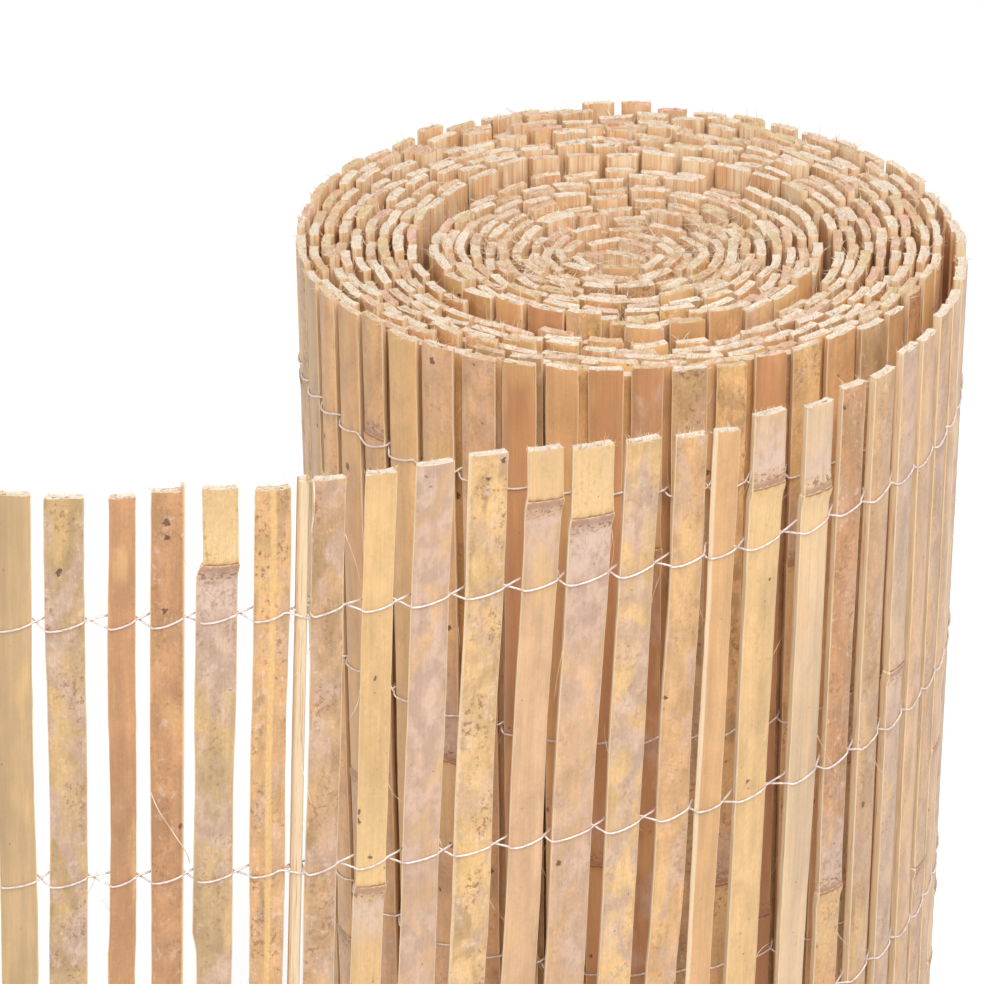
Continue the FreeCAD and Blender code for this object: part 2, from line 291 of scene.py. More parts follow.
def skin_material():
    shader = Shader("bamboo_skin")
    grain = shader.attribute("grain", "Vector")
    marks = shader.attribute("marks", "Color")
    bloom, flecks, blobs = shader.node("ShaderNodeSeparateColor", {0: marks}).outputs
    jointed = shader.attribute("marks", "Alpha")
    signed, above, below = shader.parts(shader.attribute("place", "Vector"))
    across = shader.math("ABSOLUTE", signed)
    base = shader.attribute("tone", "Color")

    # Broad drifts, and long streaks where the skin is clean
    drift = shader.noise(grain, (0.08, 0.012, 0.0), detail=2.0, roughness=0.55)
    base = shader.shade(base, drift, 0.87, 1.10)
    streak = shader.noise(grain, (0.26, 0.006, 0.6), detail=3.0, roughness=0.55)
    base = shader.mix(shader.span(flecks, 0.0, 0.6, 1.0, 0.3), base, shader.shade(base, streak, 0.90, 1.07))
    cloud = shader.noise(grain, (0.13, 0.07, 0.8), detail=3.0, roughness=0.52, distortion=0.4)
    base = shader.mix(shader.span(flecks, 0.0, 0.5, 0.25, 1.0), base, shader.shade(base, cloud, 0.82, 1.13))

    # Olive and brown stains, and warm patches
    stain = shader.noise(grain, (0.11, 0.055, 0.3), detail=3.0, roughness=0.55, distortion=0.5)
    spoiled = shader.math("MULTIPLY_ADD", flecks, 0.7, 0.08)
    base = shader.mix(shader.times(shader.span(stain, 0.49, 0.66, 0.0, 0.8), spoiled), base, STAIN)
    warm = shader.noise(grain, (0.07, 0.022, 0.7), detail=2.0)
    base = shader.mix(shader.span(warm, 0.54, 0.72, 0.0, 0.5), base, STRIPE)

    # Waxy bloom in clouds, thicker below a joint
    clouds = shader.noise(grain, (0.085, 0.045, 0.0), detail=4.0, roughness=0.5, distortion=0.8)
    thick = shader.times(shader.span(below, 8.0, 62.0, 0.34, 0.0), jointed)
    level = shader.math("ADD", shader.math("MULTIPLY_ADD", bloom, 0.28, clouds), thick)
    waxed = shader.span(shader.math("ADD", bloom, thick), 0.0, 0.5)
    mask = shader.times(shader.span(level, 0.55, 0.74), waxed)
    grey = shader.noise(grain, (0.18, 0.10, 0.0), detail=3.0, roughness=0.58)
    waxy = shader.mix(shader.span(grey, 0.36, 0.62), BLOOM, BLOOM_GREY)
    base = shader.mix(shader.times(mask, 0.85), base, waxy)

    # Marks round a joint: yellow and a brown shade above it, a thin line, a dull band, blotches and wax
    ragged = shader.noise(grain, (0.45, 0.22, 0.0), detail=2.0, roughness=0.6)
    white = shader.times(shader.span(below, 4.0, 8.0), shader.span(below, 11.0, 28.0, 1.0, 0.0), jointed)
    base = shader.mix(shader.times(white, shader.span(ragged, 0.36, 0.56, 0.1, 0.85)), base, JOINT_WHITE)
    fading = shader.math("MULTIPLY_ADD", ragged, 30.0, above)
    base = shader.mix(shader.times(jointed, shader.span(fading, 24.0, 70.0, 0.9, 0.0)), base, JOINT_YELLOW)
    soft = shader.math("MULTIPLY_ADD", ragged, 5.0, above)
    base = shader.mix(shader.span(soft, 1.5, 5.5, 0.65, 0.0), base, JOINT_SHADE)
    uneven = shader.math("MULTIPLY_ADD", ragged, 2.4, shader.math("SUBTRACT", below, 1.2))
    band = shader.times(shader.span(uneven, 0.0, 0.5), shader.span(uneven, 1.4, 3.4, 0.8, 0.0))
    base = shader.mix(band, base, JOINT_BAND)
    line = shader.span(shader.math("MULTIPLY_ADD", ragged, 1.2, above), 0.6, 1.5, 0.9, 0.0)
    base = shader.mix(line, base, JOINT_LINE)
    smudge = shader.noise(grain, (0.6, 0.8, 0.4), detail=2.0, roughness=0.65)
    under = shader.times(shader.span(below, 1.8, 3.0), shader.span(below, 4.0, 8.0, 0.85, 0.0))
    base = shader.mix(shader.times(shader.span(smudge, 0.50, 0.62), under), base, SMUDGE)

    # Brown flecks in drifts, pale flakes, dark blobs and pin pricks
    drifts = shader.noise(grain, (0.10, 0.05, 0.5), detail=2.0, roughness=0.55)
    fleck = shader.noise(grain, (0.55, 0.42, 0.2), detail=3.0, roughness=0.74)
    where = shader.times(shader.span(drifts, 0.47, 0.60), flecks)
    base = shader.mix(shader.times(shader.span(fleck, 0.50, 0.64, 0.0, 0.8), where), base, FLECK)
    flake = shader.noise(grain, (0.26, 0.20, 0.9), detail=3.0, roughness=0.6)
    base = shader.mix(shader.times(shader.span(flake, 0.60, 0.68, 0.0, 0.45), flecks), base, FLAKE)
    cluster = shader.span(shader.noise(grain, (0.0, 0.014, 0.3)), 0.40, 0.58, 0.4, 1.6)
    share = shader.times(blobs, 0.42, cluster)
    base = shader.mix(shader.times(shader.spots(grain, (0.19, 0.14, 0.0), 0.25, share, 0.07), 0.85), base, BLOB)
    base = shader.mix(shader.times(shader.spots(grain, (0.6, 0.5, 0.0), 0.28, 0.05, 0.12), 0.6), base, BLOB)

    # A band of another colour along a few slats
    strength, centre, half = shader.parts(shader.attribute("band", "Vector"))
    wander = shader.math("MULTIPLY_ADD", shader.noise(grain, (0.0, 0.03, 0.0)), 0.16, -0.08)
    off = shader.math("ABSOLUTE", shader.math("ADD", shader.math("SUBTRACT", signed, centre), wander))
    within = shader.span(shader.math("SUBTRACT", off, half), -0.07, 0.07, 1.0, 0.0)
    tone = shader.mix(shader.span(shader.math("ABSOLUTE", centre), 0.4, 0.6), STRIPE, EDGE)
    base = shader.mix(shader.times(strength, within), base, tone)

    # Mottling in grains and fine fibres, and the worn edge of the skin
    mottle = shader.noise(grain, (0.85, 0.6, 0.0), detail=2.0, roughness=0.7)
    rough_skin = shader.span(flecks, 0.0, 0.7, 0.3, 1.0)
    base = shader.mix(rough_skin, base, shader.shade(base, mottle, 0.91, 1.08))
    fibre = shader.noise(grain, (2.4, 0.05, 1.0), detail=1.0, roughness=0.6)
    base = shader.shade(base, fibre, 0.95, 1.04)
    base = shader.mix(shader.span(across, 0.92, 0.985, 0.0, 0.75), base, EDGE)
    rough = shader.span(mask, 0.0, 1.0, 0.44, 0.6)
    bump = shader.math("MULTIPLY_ADD", mottle, 0.7, shader.times(fibre, 0.5))
    return shader.surface(base, rough, bump, 0.16)


def split_material():
    """The split sides: cream at the skin, browner and more fibrous inwards; the darker tan inwards is partly the
    wood's own colour and partly painted shade.
    """
    shader = Shader("bamboo_split_side")
    grain = shader.attribute("grain", "Vector")
    across = shader.math("ABSOLUTE", shader.parts(shader.attribute("place", "Vector"))[0])
    patch = shader.noise(grain, (0.3, 0.03, 0.5), detail=2.0, roughness=0.6)
    fibres = shader.noise(grain, (2.2, 0.04, 2.2), detail=2.0, roughness=0.65)
    # Darker tan away from the skin edge: partly the wood's own colour, partly painted shade on the side face
    inward_tan_and_shade = shader.math("MULTIPLY_ADD", patch, 0.6, shader.math("SUBTRACT", across, 0.3))
    base = shader.mix(shader.span(inward_tan_and_shade, 1.15, 1.65), EDGE, SPLIT)
    base = shader.mix(shader.span(fibres, 0.54, 0.70, 0.0, 0.6), base, SPLIT_BROWN)
    base = shader.mix(shader.span(fibres, 0.44, 0.30, 0.0, 0.5), base, CREAM)
    return shader.surface(base, 0.8, fibres, 0.35)


def inner_material():
    """The inner side: pale tan with long streaks."""
    shader = Shader("bamboo_inner_side")
    grain = shader.attribute("grain", "Vector")
    patch = shader.noise(grain, (0.16, 0.02, 0.3), detail=2.0, roughness=0.6)
    streaks = shader.noise(grain, (0.9, 0.012, 0.9), detail=2.0, roughness=0.65)
    fibres = shader.noise(grain, (2.0, 0.035, 2.0), detail=2.0, roughness=0.65)
    tone = shader.mix(0.3, INNER_TAN, shader.attribute("tone", "Color"))
    base = shader.mix(shader.span(patch, 0.4, 0.62), tone, INNER_PALE)
    base = shader.mix(shader.span(streaks, 0.50, 0.66, 0.0, 0.55), base, SPLIT_BROWN)
    base = shader.mix(shader.span(fibres, 0.56, 0.72, 0.0, 0.4), base, SPLIT_BROWN)
    base = shader.mix(shader.span(fibres, 0.44, 0.30, 0.0, 0.5), base, CREAM)
    return shader.surface(base, 0.8, fibres, 0.35)


def cut_material():
    """Sawn ends: cream to tan and torn, with a thin darker rim."""
    shader = Shader("bamboo_cut_end")
    grain = shader.attribute("grain", "Vector")
    bright = shader.attribute("ends")
    rim = shader.attribute("rim")
    torn = shader.noise(grain, (0.9, 0.4, 2.0), detail=3.0, roughness=0.75)
    patch = shader.noise(grain, (0.25, 0.05, 0.4), detail=1.0)
    tone = shader.mix(0.3, END_TAN, shader.attribute("tone", "Color"))
    light = shader.math("ADD", bright, shader.math("MULTIPLY_ADD", patch, 1.4, -0.7))
    hue = shader.noise(grain, (0.03, 0.0, 0.03), detail=1.0)
    tone = shader.mix(shader.span(hue, 0.52, 0.62, 0.0, 0.8), tone, END_PINK)
    tone = shader.mix(shader.span(hue, 0.48, 0.38, 0.0, 0.7), tone, END_GREEN)
    base = shader.mix(shader.span(light, 0.0, 0.9), tone, END_CREAM)
    base = shader.mix(shader.span(torn, 0.52, 0.68, 0.0, 0.7), base, END_DARK)
    base = shader.mix(shader.times(shader.span(rim, 0.8, 1.0), 0.3), base, END_DARK)
    return shader.surface(base, 0.9, torn, 0.6)


def fibre_material():
    shader = Shader("bamboo_fibre")
    grain = shader.attribute("grain", "Vector")
    gold = shader.noise(grain, (0.12, 0.12, 0.12), detail=3.0)
    base = shader.mix(shader.span(gold, 0.40, 0.60), CREAM, HAIR_GOLD)
    return shader.surface(base, 0.7)


def wire_material():
    shader = Shader("galvanised_wire")
    grain = shader.attribute("grain", "Vector")
    dull = shader.noise(grain, (0.5, 0.5, 0.5), detail=4.0)
    base = shader.mix(shader.span(dull, 0.35, 0.65), WIRE_LIGHT, WIRE_DULL)
    return shader.surface(base, shader.span(dull, 0.3, 0.7, 0.3, 0.45), Metallic=0.35)


class Build:
    """Points, faces and values of one piece, until its mesh is made."""

    def __init__(self, name):
        self.name = name
        self.points = []
        self.faces = []
        self.kinds = []
        self.owners = []
        self.grain = []
        self.place = []
        self.rim = []

    def add(self, point, grain, owner=None, place=(0.0, FAR, FAR), rim=0.0):
        self.points.append(inside(point))
        self.grain.append(grain)
        self.owners.append(owner)
        self.place.append(place)
        self.rim.append(rim)
        return len(self.points) - 1

    def face(self, corners, kind):
        self.faces.append(corners)
        self.kinds.append(kind)

    def attribute(self, mesh, name, kind, key, numbers):
        made = mesh.attributes.new(name, kind, "POINT")
        made.data.foreach_set(key, np.array(numbers, dtype=np.float32).ravel())

    def finish(self, materials, sharp=None):
        mesh = bpy.data.meshes.new(self.name)
        mesh.from_pydata([(x * MM, y * MM, z * MM) for x, y, z in self.points], [], self.faces)
        for material in materials:
            mesh.materials.append(material)
        mesh.polygons.foreach_set("material_index", self.kinds)
        mesh.polygons.foreach_set("use_smooth", [True] * len(self.faces))
        self.attribute(mesh, "grain", "FLOAT_VECTOR", "vector", self.grain)
        if self.owners[0] is not None:
            self.attribute(mesh, "place", "FLOAT_VECTOR", "vector", self.place)
            self.attribute(mesh, "tone", "FLOAT_COLOR", "color", [slat.tone for slat in self.owners])
            self.attribute(mesh, "marks", "FLOAT_COLOR", "color", [slat.marks for slat in self.owners])
            self.attribute(mesh, "band", "FLOAT_VECTOR", "vector", [slat.band for slat in self.owners])
            self.attribute(mesh, "ends", "FLOAT", "value", [slat.bright for slat in self.owners])
            self.attribute(mesh, "rim", "FLOAT", "value", self.rim)
        if sharp is not None:
            mesh.set_sharp_from_angle(angle=math.radians(sharp))
        mesh.validate()
        ob = bpy.data.objects.new(self.name, mesh)
        bpy.context.scene.collection.objects.link(ob)
        return ob


def inside(point):
    """The nearest point in the solids' box, so that no hair or wire leaves it."""
    return tuple(min(max(c, low / MM), high / MM) for c, low, high in zip(point, *CAD_BOX))


class Slat:
    """One slat of the frame: its middle at each level, its width, thickness and directions."""

    def __init__(self, corners, chance, node, look, number):
        self.in_sheet = look is not None
        self.number = number if self.in_sheet else 0
        self.outermost = node == "turn_01"
        self.fine = self.in_sheet or self.outermost
        heights = sorted({round(z, 1) for x, y, z in corners})
        top = np.array([c for c in corners if abs(c[2] - heights[-1]) < 0.1])
        flat = top[:, :2] - top[:, :2].mean(axis=0)
        along = np.linalg.svd(flat)[2][0]
        out = np.array((along[1], -along[0]))
        depths = flat @ out
        middle = (depths.min() + depths.max()) / 2.0
        outwards = (depths > middle).sum() * 2 > len(depths)
        if len(top) == 4:
            outwards = top[:, :2].mean(axis=0) @ out > 0.0
        if not outwards:
            out = -out
        self.out = out
        self.along = np.array((-out[1], out[0]))
        self.levels = []
        for height in heights:
            ring = np.array([c[:2] for c in corners if abs(c[2] - height) < 0.1])
            u = ring @ self.along
            v = ring @ self.out
            centre = self.along * (u.min() + u.max()) / 2.0 + self.out * (v.min() + v.max()) / 2.0
            self.levels.append((height, centre[0], centre[1]))
            self.width = u.max() - u.min()
            self.thickness = v.max() - v.min()
        self.foot = heights[0]
        self.top = heights[-1]
        self.joints = [heights[2]] if len(heights) > 4 else []
        self.dress(chance, look)

    def dress(self, chance, look):
        """What the plain solid lacks: colours, second joints, bends, and uneven sides and ends."""
        self.shift = (chance.uniform(0.0, 900.0), chance.uniform(0.0, 900.0), chance.uniform(0.0, 90.0))
        self.bright = chance.uniform(0.1, 1.1)
        self.band = BANDS.get(self.number, NO_BAND)
        self.stepped = STEPPED.get(self.number, 0.0)
        self.widened = WIDENED.get(self.number, 0.0)
        self.upside_down = self.number in UPSIDE_DOWN
        spread, tint = (0.015, 0.008) if self.in_sheet else (0.07, 0.02)
        if self.in_sheet:
            skin, bloom, flecks, blobs, jointed = look
            self.bright += 0.4
        else:
            skin = chance.choice(ROLL_SKINS)
            bloom, flecks, blobs = chance.random() ** 2 * 0.4, chance.random() ** 2, chance.random() ** 2
            jointed = chance.choice((0.0, 0.0, 0.3, 0.7))
            self.upside_down = chance.random() < 0.4
        lighter = 1.0 + chance.uniform(-spread, spread)
        warmer = chance.uniform(-tint, tint)
        red, green, blue, alpha = SKINS[skin]
        # All the roll's slats are tinted a little warmer, a painted stand-in for the warm shade in the gaps of the
        # roll
        if not self.in_sheet:
            warmer += 0.01
        self.tone = (red * lighter * (1.0 + warmer), green * lighter, blue * lighter * (1.0 - warmer), alpha)
        self.marks = (bloom, flecks, blobs, jointed)

        spacing = chance.uniform(240.0, 330.0)
        if not self.joints:
            self.joints = [self.top - chance.uniform(40.0, 460.0)]
        if self.number in PLAIN_WHERE_SEEN:
            self.joints = [LOWEST_SEEN - chance.uniform(40.0, 120.0)]
        first = self.joints[0]
        highest = LOWEST_SEEN if self.fine else self.top - 60.0
        self.joints += [z for z in (first - spacing, first + spacing) if self.foot + 8.0 < z < highest]
        self.bends = [(chance.uniform(0.1, 0.35), chance.uniform(90.0, 260.0), chance.uniform(0.0, 6.3)) for i in range(3)]
        self.slope = chance.uniform(-0.03, 0.03) if self.in_sheet else chance.uniform(-0.10, 0.10)
        self.hollow = chance.uniform(0.3, 0.9)
        self.outer_cut = WIRE_ROOM if self.outermost else 0.1
        self.thinner = chance.uniform(0.0, 0.3) if self.in_sheet else chance.uniform(0.0, 0.5)
        self.fuzzy = not self.fine and math.hypot(*self.middle(self.top)) < FUZZY_RADIUS
        turn = 11.0 if self.fuzzy else 6.0
        self.turned = 0.0 if self.fine else math.radians(chance.uniform(-turn, turn))
        self.side_room = -0.3 if self.fine else 0.3
        self.out_shift = 0.0 if self.fine else chance.uniform(-0.5, 0.5)
        self.lean = 0.0 if self.fine else chance.uniform(-0.7, 0.7)
        if not self.fine:
            self.top -= chance.random() ** 2 * MOST_SHORTENED

    def middle(self, z):
        """Centre of the section at a height, on the solid's own line."""
        levels = self.levels
        index = 0
        while index < len(levels) - 2 and z > levels[index + 1][0]:
            index += 1
        (z0, x0, y0), (z1, x1, y1) = levels[index], levels[index + 1]
        share = min(1.0, max(0.0, (z - z0) / (z1 - z0)))
        return x0 + share * (x1 - x0), y0 + share * (y1 - y0)

    def wave(self, z, number):
        reach, length, phase = self.bends[number]
        return reach * math.sin(z / length * 2.0 * math.pi + phase)

    def from_joint(self, z):
        return min((z - joint for joint in self.joints), key=abs)

    def joint_distances(self, z):
        """How far a height is above the joint under it, and below the joint over it."""
        above = min([z - joint for joint in self.joints if joint <= z] + [FAR])
        below = min([joint - z for joint in self.joints if joint >= z] + [FAR])
        return (below, above) if self.upside_down else (above, below)

    def point(self, u, v, z):
        """Point at u across and v outwards of the section at a height, with the slat's bends."""
        x, y = self.middle(z)
        u, v = u * math.cos(self.turned) - v * math.sin(self.turned), v * math.cos(self.turned) + u * math.sin(self.turned)
        u += self.wave(z, 0) * (1.0 if self.in_sheet else 0.6) + self.lean * (z / self.top) ** 2
        v += self.out_shift
        return (
            x + u * self.along[0] + v * self.out[0],
            y + u * self.along[1] + v * self.out[1],
            z,
        )

    def end_height(self, u):
        """Height of the sloping sawn top."""
        return self.top - abs(self.slope) * self.width / 2.0 + self.slope * u

    def grain(self, u, v, z):
        return (u + self.shift[0], z + self.shift[1], v + self.shift[2])

    def skin_depth(self, share, z):
        """How far out the skin lies at a share of the half width: crowned, with a swollen joint."""
        joint = self.from_joint(z)
        swell = 0.4 * math.exp(-(((joint + 1.8) / 2.4) ** 2))
        groove = 0.3 * math.exp(-(((joint - 0.3) / 0.7) ** 2))
        return self.thickness / 2.0 - self.outer_cut - CROWN * share * share + swell - groove

    def gap_to(self, after):
        return math.dist(self.middle(self.top), after.middle(after.top)) - (self.width + after.width) / 2.0


# Loose fibres of single slats: across, out of the skin, and height from the slat's top
TORN_LOOP = (
    (-1.4, 1.9, -0.6),
    (-3.0, 2.8, 0.7),
    (-4.9, 3.0, -3.0),
    (-5.2, 3.0, -8.5),
    (-4.2, 2.8, -14.0),
    (-2.3, 2.5, -19.0),
)
LONG_HAIR = (
    (-5.6, 2.2, -116.0),
    (-3.0, 3.1, -123.0),
    (2.4, 3.3, -133.0),
    (6.6, 3.0, -141.0),
    (7.9, 2.6, -146.0),
)

# The section goes round from the left of the skin side, as shares of the half width. A share of 1 is
# the skin's edge, and 2 is the edge of the inner side.
SKIN, SIDE, INNER, CUT, FIBRE = range(5)
SKIN_SHARES = (-0.975, -0.80, -0.40, 0.0, 0.40, 0.80, 0.975)
INNER_SHARES = (0.93, 0.35, -0.35, -0.93)
SECTION_KINDS = [SKIN] * 6 + [SIDE] * 3 + [INNER] * 3 + [SIDE] * 3
EDGE_ROUND = 0.3


def section(slat, z, nick=0.0):
    """Section points as u, v and share across, at one height."""
    joint = slat.from_joint(z)
    wider = 0.25 * math.exp(-((joint / 4.0) ** 2))
    if joint < 0.0 and slat.fine:
        wider += 0.35 * math.exp(joint / 30.0)
    half = slat.width / 2.0 + slat.side_room + slat.wave(z, 1) * 0.6 + wider + nick
    points = [(share * half, slat.skin_depth(share, z) - 0.2 * (abs(share) > 0.9), share) for share in SKIN_SHARES]
    edge = slat.skin_depth(1.0, z) - EDGE_ROUND * 1.4
    back = slat.thinner - slat.thickness / 2.0
    inner = half - SPLIT_SLANT
    points.append((half, edge, 1.0))
    points.append((inner, back + EDGE_ROUND, 2.0))
    for share in INNER_SHARES:
        points.append((share * inner, back + slat.hollow * (1.0 - share * share), 2.0))
    points.append((-inner, back + EDGE_ROUND, 2.0))
    points.append((-half, edge, -1.0))
    points = [(u + slat.widened * (1.0 + u / half) / 2.0, v, share) for u, v, share in points]
    if slat.stepped and joint < 0.0:
        out = slat.stepped * (1.0 - math.exp(joint / 1.5)) / 2.0
        points = [(u - out * (1.0 - u / half), v, share) for u, v, share in points]
    return points


def ring_heights(slat):
    """Heights of the slat's rings: close together at the joints and the ends."""
    heights = [slat.foot, slat.foot + 0.5]
    step = 8.0 if slat.fine else 160.0
    z = slat.foot + 4.0
    while z < slat.top - (3.0 if slat.fine else 60.0):
        heights.append(z)
        z += step
    drops = (4.0, 1.6, 0.7) if slat.fine else (55.0, 28.0, 12.0, 4.0, 1.6, 0.7)
    heights += [slat.top - abs(slat.slope) * slat.width - drop for drop in drops]
    for joint in slat.joints:
        if slat.fine or joint > slat.top - 90.0:
            heights += [joint + step for step in (-9.0, -6.0, -4.2, -2.6, -1.2, -0.5, 0.0, 0.5, 1.1, 2.0, 4.0)]
    heights = sorted(z for z in heights if slat.foot <= z <= slat.top - abs(slat.slope) * slat.width - 0.6)
    kept = [heights[0]]
    for z in heights[1:]:
        if z - kept[-1] > 0.3:
            kept.append(z)
    return kept


def add_ring(build, slat, points, heights, rim=0.0):
    ring = []
    for (u, v, share), z in zip(points, heights):
        place = (share, *slat.joint_distances(z))
        ring.append(build.add(slat.point(u, v, z), slat.grain(u, v, z), slat, place, rim))
    return ring


def join_rings(build, low, high, kinds):
    count = len(low)
    for corner in range(count):
        other = (corner + 1) % count
        build.face((low[corner], low[other], high[other], high[corner]), kinds[corner])


def add_slat(build, slat, chance):
    count = len(SECTION_KINDS)
    rings = []
    for z in ring_heights(slat):
        nick = chance.uniform(-0.12, 0.05) if slat.fine else 0.0
        points = section(slat, z, nick)
        if z == slat.foot:
            points = [(u * 0.97, v * 0.92, share) for u, v, share in points]
        rings.append(add_ring(build, slat, points, [z] * count))
    build.face(tuple(reversed(rings[0])), CUT)

    # The sawn top: a torn rim, and a rough face inside it
    points = section(slat, slat.top)
    rim = [(u * 0.985, v * 0.95, share) for u, v, share in points]
    rings.append(add_ring(build, slat, rim, [slat.end_height(u) - chance.uniform(0.0, 0.45) for u, v, share in rim]))
    for low, high in zip(rings, rings[1:]):
        join_rings(build, low, high, SECTION_KINDS)
    edge = rings[-1]
    build_rim = []
    for index in edge:
        x, y, z = build.points[index]
        build_rim.append(build.add((x, y, z), build.grain[index], slat, build.place[index], 1.0))
    for scale_u, scale_v, inward_tan_and_shade in ((0.92, 0.78, 0.6), (0.62, 0.38, 0.9)):
        face = [(u * scale_u, v * scale_v, share) for u, v, share in points]
        heights = [slat.end_height(u) + 0.1 - chance.uniform(0.0, inward_tan_and_shade) for u, v, share in face]
        ring = add_ring(build, slat, face, heights)
        join_rings(build, build_rim, ring, [CUT] * count)
        build_rim = ring
    build.face(tuple(build_rim), CUT)


def add_fibre(build, slat, start, heading, length, radius, chance):
    """A thin torn fibre that curls and tapers to a point."""
    direction = Vector(heading).normalized()
    bend = Vector((chance.uniform(-1, 1), chance.uniform(-1, 1), chance.uniform(-0.6, 0.6))) * 0.8
    steps = 3 if length < 5.0 else 7
    at = Vector(start)
    rings = []
    for step in range(steps):
        size = radius * (1.0 - 0.8 * step / steps)
        side = direction.orthogonal().normalized()
        over = direction.cross(side)
        ring = []
        for corner in range(3):
            turn = corner * 2.0 * math.pi / 3.0
            point = at + (side * math.cos(turn) + over * math.sin(turn)) * size
            ring.append(build.add(tuple(point), tuple(point), slat))
        rings.append(ring)
        at = at + direction * (length / steps)
        direction = (direction + bend * (1.0 / steps)).normalized()
    tip = build.add(tuple(at), tuple(at), slat)
    for low, high in zip(rings, rings[1:]):
        join_rings(build, low, high, [FIBRE] * 3)
    last = rings[-1]
    for corner in range(3):
        build.face((last[corner], last[(corner + 1) % 3], tip), FIBRE)
    build.face(tuple(reversed(rings[0])), FIBRE)


def heading(slat, sideways, outwards, up):
    plan = sideways * slat.along + outwards * slat.out
    return (plan[0], plan[1], up)


def add_end_fibres(build, slat, chance, count, flattest, steepest):
    """Fibres that stand out of the sawn top, kept under the highest slat."""
    limit = CAD_BOX[1][2] / MM - 0.5
    for number in range(count):
        u = chance.uniform(-0.48, 0.48) * slat.width
        edge = chance.choice((1.0, 1.0, -1.0))
        v = edge * (slat.thickness / 2.0 - 0.8) * chance.uniform(0.4, 1.0)
        z = slat.end_height(u) - 0.6
        way = heading(slat, chance.uniform(-0.9, 0.9), edge * chance.uniform(0.0, 0.9), chance.uniform(flattest, steepest))
        length = chance.choice((1.0, 1.4, 1.8, 2.2, 2.8, 3.6, 6.0))
        length = min(length, max(0.8, (limit - z) * 1.4))
        add_fibre(build, slat, slat.point(u, v, z), way, length, chance.uniform(0.09, 0.19), chance)


def add_tangle(build, slat, chance, count):
    """Golden fibres that lie curled over the tops of the inner turns."""
    for number in range(count):
        start = slat.point(chance.uniform(-0.5, 0.5) * slat.width, chance.uniform(-2.0, 2.0), slat.top - 0.5)
        way = heading(slat, chance.uniform(-1.0, 1.0), chance.uniform(-1.0, 1.0), chance.uniform(-0.1, 0.5))
        add_fibre(build, slat, start, way, chance.uniform(5.0, 13.0), chance.uniform(0.08, 0.14), chance)


def add_side_hairs(build, slat, chance, count):
    """Long fibres that peel off the slat's split sides."""
    for number in range(count):
        side = chance.choice((-1.0, 1.0))
        z = chance.uniform(slat.foot + 60.0, slat.top - 12.0)
        start = slat.point(side * (slat.width / 2.0 - 0.3), slat.skin_depth(1.0, z) - 0.6, z)
        way = heading(slat, side * chance.uniform(0.1, 0.5), chance.uniform(0.05, 0.35), chance.choice((-1.0, 1.0)))
        add_fibre(build, slat, start, way, chance.uniform(5.0, 22.0), chance.uniform(0.10, 0.17), chance)


def add_sliver(build, slat):
    """A sliver split off the slat's right edge, which stands a little higher than the slat."""
    left = slat.width / 2.0 - 1.35
    right = slat.width / 2.0 - 0.1
    front = slat.skin_depth(0.9, slat.top) + 0.25
    rings = []
    for number in range(60):
        z = slat.foot + 1.0 + (slat.top + 1.0 - slat.foot) * number / 59.0
        bow = 0.12 * math.sin(z / 31.0)
        corners = ((left + bow, front - 2.4), (right + bow, front - 2.4), (right + bow, front - 0.2), (left + bow, front))
        ring = []
        for (u, v), share in zip(corners, (1.2, 1.2, 0.99, 0.9)):
            place = (share, *slat.joint_distances(z))
            ring.append(build.add(slat.point(u, v, z), slat.grain(u, v, z), slat, place))
        rings.append(ring)
    for low, high in zip(rings, rings[1:]):
        join_rings(build, low, high, [INNER, SIDE, SKIN, SIDE])
    build.face(tuple(reversed(rings[0])), CUT)
    build.face(tuple(rings[-1]), CUT)


def add_torn_strand(build, slat, points, radius):
    """A thick loose fibre along points given as u, v and the height from the slat's top."""
    line = [slat.point(u, v, slat.top + rise) for u, v, rise in points]
    add_tube(build, smooth(line, 4), radius, 4, FIBRE, slat)


def add_single_features(build, slat):
    if slat.number == SLIVERED:
        add_sliver(build, slat)
        add_torn_strand(build, slat, LONG_HAIR, 0.2)
    if slat.number == LOOPED:
        add_torn_strand(build, slat, TORN_LOOP, 0.3)


def solids_of(name):
    """Corner points of each solid of a node, in millimetres."""
    mesh = bmesh.new()
    mesh.from_mesh(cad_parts[name].data)
    bmesh.ops.remove_doubles(mesh, verts=mesh.verts, dist=0.02 * MM)
    left = set(mesh.verts)
    found = []
    for vertex in mesh.verts:
        if vertex not in left:
            continue
        left.discard(vertex)
        group = [vertex]
        for member in group:
            for edge in member.link_edges:
                other = edge.other_vert(member)
                if other in left:
                    left.discard(other)
                    group.append(other)
        found.append([tuple(c / MM for c in member.co) for member in group])
    mesh.free()
    return found


def turn_order(slats):
    """The outermost turn's slats in order along the mat, from the sheet on."""
    radii = [math.hypot(*slat.middle(slat.top)) for slat in slats]
    outer = max(radii) - 3.0

    def place(slat):
        x, y = slat.middle(slat.top)
        angle = math.degrees(math.atan2(y, x))
        first_lap = angle > 18.5 or (angle > -30.0 and math.hypot(x, y) > outer)
        return angle if first_lap else angle + 360.0

    return sorted(slats, key=place)


